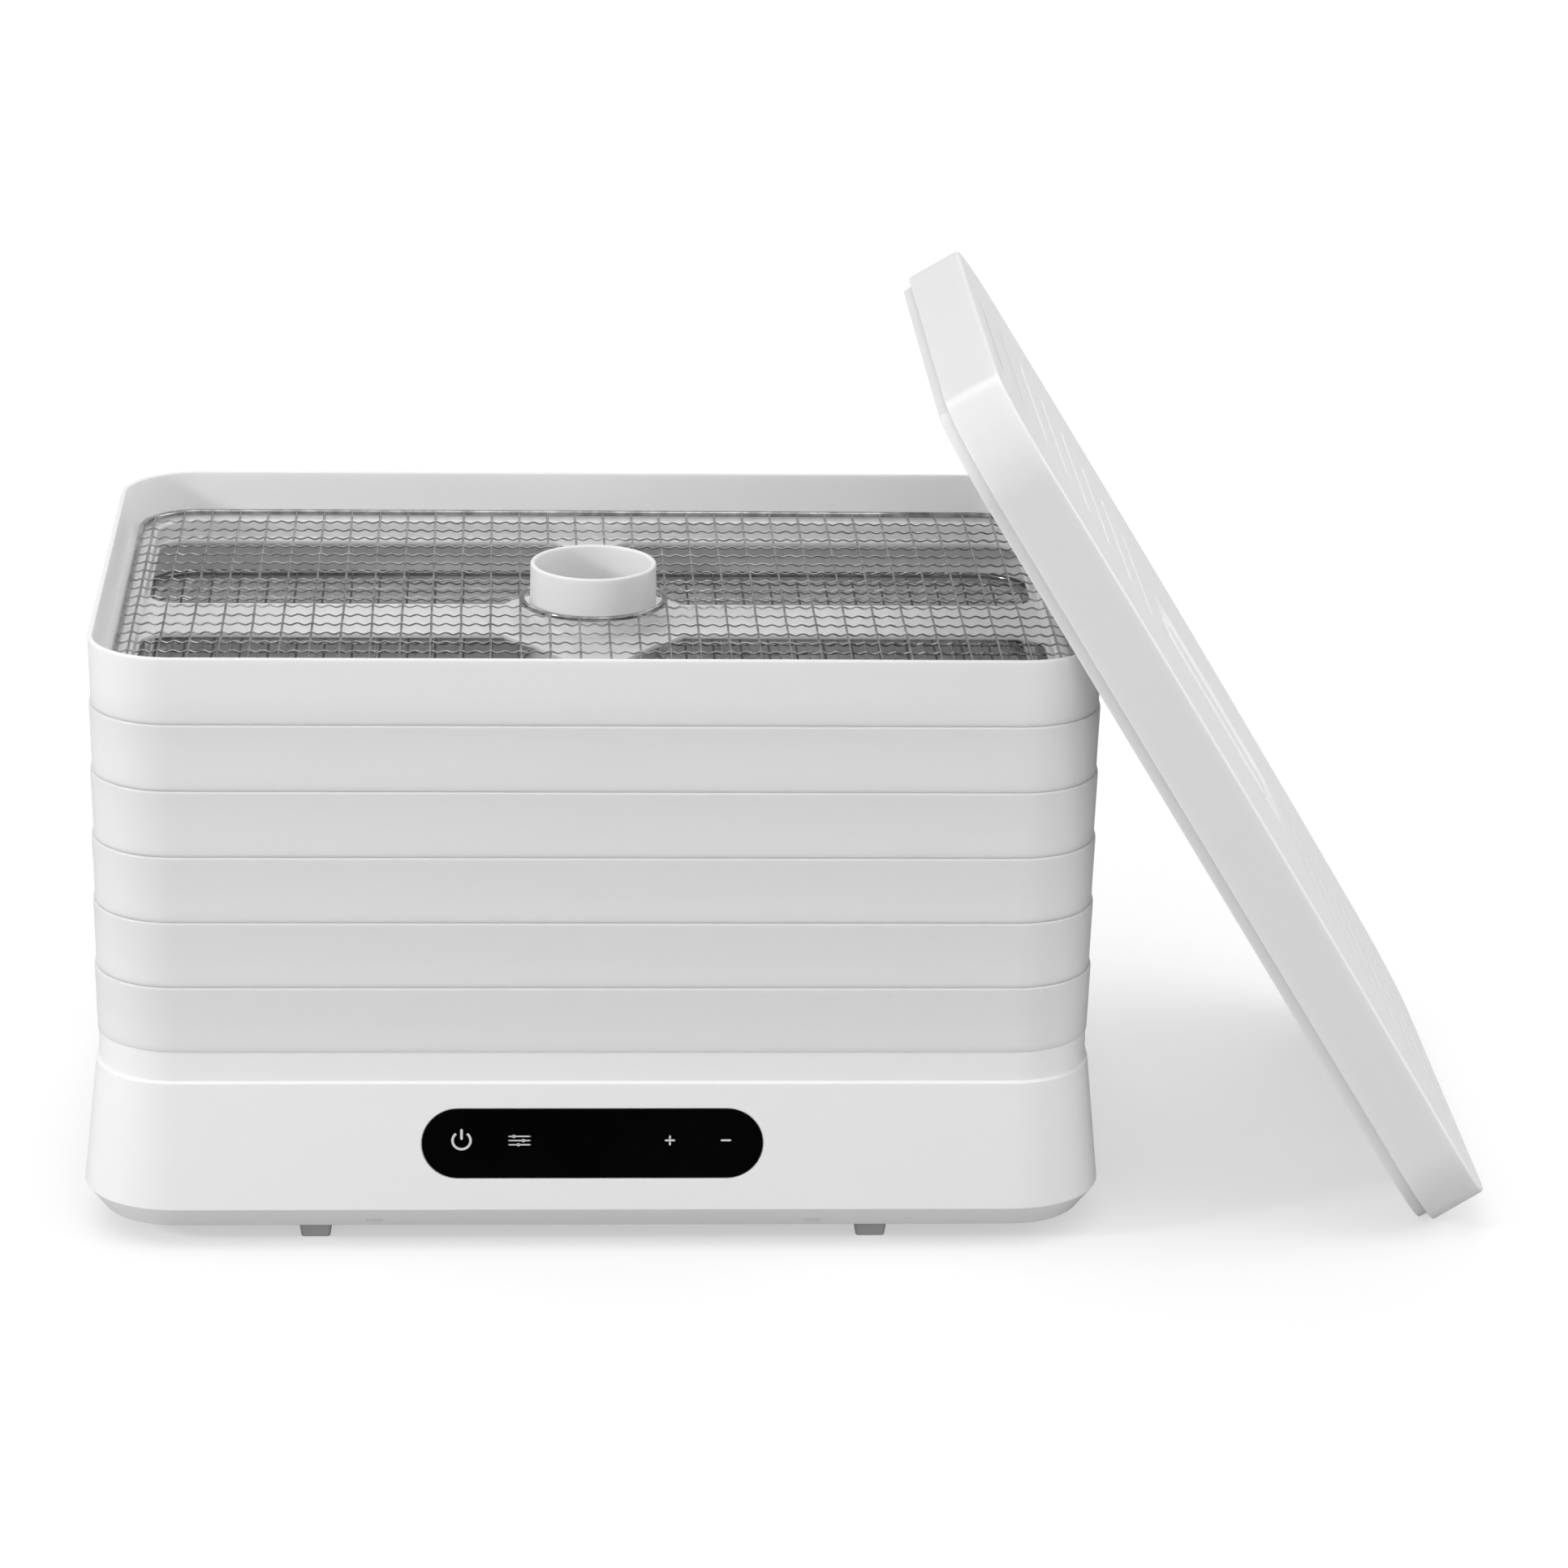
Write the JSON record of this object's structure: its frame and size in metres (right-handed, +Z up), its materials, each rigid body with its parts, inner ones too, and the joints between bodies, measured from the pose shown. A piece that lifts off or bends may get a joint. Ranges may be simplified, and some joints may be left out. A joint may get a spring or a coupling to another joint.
{
  "type": "food dehydrator",
  "caption": "Countertop food dehydrator: fan and heater base with touch panel, stacked mesh-insert trays and a vented lid leaning on the stack.",
  "frame": {"origin": "middle of the footprint, on the table", "axes": "+X from the stack towards the leaning lid, +Y from the touch panel to the rear, +Z up"},
  "size_m": [0.5704, 0.2904, 0.3553],
  "materials": {
    "white_body": "gloss moulded",
    "white_tray": "satin gloss moulded",
    "white_lid": "gloss moulded",
    "inner_plastic": "moulded",
    "foot_plastic": "matte",
    "black_lens": "high gloss",
    "stainless_mesh": "polished wire",
    "zinc_steel": "plain",
    "dark_plastic": "moulded",
    "circuit_board": "solder mask",
    "mica": "sheet insulator"
  },
  "bodies": {
    "base": {"base_housing": "white_body", "base_deck": "white_body", "base_floor": "inner_plastic", "outlet_grille": "inner_plastic", "air_nozzle": "inner_plastic", "air_duct": "inner_plastic", "cord_gland": "dark_plastic", "control_lens": "black_lens", "display_module": "dark_plastic", "control_board": "circuit_board", "power_board": "circuit_board", "fan_motor": "zinc_steel", "motor_bracket": "inner_plastic", "heater_frame": "mica", "heater_coil": "zinc_steel", "thermal_cutout": "dark_plastic", "temperature_sensor": "zinc_steel", "foot_1": "foot_plastic", "floor_screw_1": "zinc_steel", "foot_2": "foot_plastic", "floor_screw_2": "zinc_steel", "foot_3": "foot_plastic", "floor_screw_3": "zinc_steel", "foot_4": "foot_plastic", "floor_screw_4": "zinc_steel"},
    "fan": {"motor_shaft": "zinc_steel", "fan_impeller": "dark_plastic"},
    "tray_1": {"tray_frame_1": "white_tray"},
    "insert_1": {"tray_mesh_1": "stainless_mesh"},
    "tray_2": {"tray_frame_2": "white_tray"},
    "insert_2": {"tray_mesh_2": "stainless_mesh"},
    "tray_3": {"tray_frame_3": "white_tray"},
    "insert_3": {"tray_mesh_3": "stainless_mesh"},
    "tray_4": {"tray_frame_4": "white_tray"},
    "insert_4": {"tray_mesh_4": "stainless_mesh"},
    "tray_5": {"tray_frame_5": "white_tray"},
    "insert_5": {"tray_mesh_5": "stainless_mesh"},
    "tray_6": {"tray_frame_6": "white_tray"},
    "insert_6": {"tray_mesh_6": "stainless_mesh"},
    "lid": {"lid_shell": "white_lid", "lid_handle": "white_lid", "lid_deflector": "white_lid"}
  },
  "joints": [
    {"name": "fan_spin", "type": "hinge", "parent": "base", "child": "fan", "pos_m": [-0.07957, -0.0052, 0.046], "axis": [0, 0, 1], "continuous": true},
    {"name": "tray_1_lift", "type": "slide", "parent": "base", "child": "tray_1", "axis": [0, 0, 1], "range_m": [0, 0.06]},
    {"name": "tray_2_lift", "type": "slide", "parent": "tray_1", "child": "tray_2", "axis": [0, 0, 1], "range_m": [0, 0.06]},
    {"name": "tray_3_lift", "type": "slide", "parent": "tray_2", "child": "tray_3", "axis": [0, 0, 1], "range_m": [0, 0.06]},
    {"name": "tray_4_lift", "type": "slide", "parent": "tray_3", "child": "tray_4", "axis": [0, 0, 1], "range_m": [0, 0.06]},
    {"name": "tray_5_lift", "type": "slide", "parent": "tray_4", "child": "tray_5", "axis": [0, 0, 1], "range_m": [0, 0.06]},
    {"name": "tray_6_lift", "type": "slide", "parent": "tray_5", "child": "tray_6", "axis": [0, 0, 1], "range_m": [0, 0.06]},
    {"name": "insert_1_lift", "type": "slide", "parent": "tray_1", "child": "insert_1", "axis": [0, 0, 1], "range_m": [0, 0.01]},
    {"name": "insert_2_lift", "type": "slide", "parent": "tray_2", "child": "insert_2", "axis": [0, 0, 1], "range_m": [0, 0.01]},
    {"name": "insert_3_lift", "type": "slide", "parent": "tray_3", "child": "insert_3", "axis": [0, 0, 1], "range_m": [0, 0.01]},
    {"name": "insert_4_lift", "type": "slide", "parent": "tray_4", "child": "insert_4", "axis": [0, 0, 1], "range_m": [0, 0.01]},
    {"name": "insert_5_lift", "type": "slide", "parent": "tray_5", "child": "insert_5", "axis": [0, 0, 1], "range_m": [0, 0.01]},
    {"name": "insert_6_lift", "type": "slide", "parent": "tray_6", "child": "insert_6", "axis": [0, 0, 1], "range_m": [0, 0.04]},
    {"name": "lid_lift", "type": "slide", "parent": "tray_6", "child": "lid", "axis": [0, 0, 1], "range_m": [0, 0.15]}
  ]
}
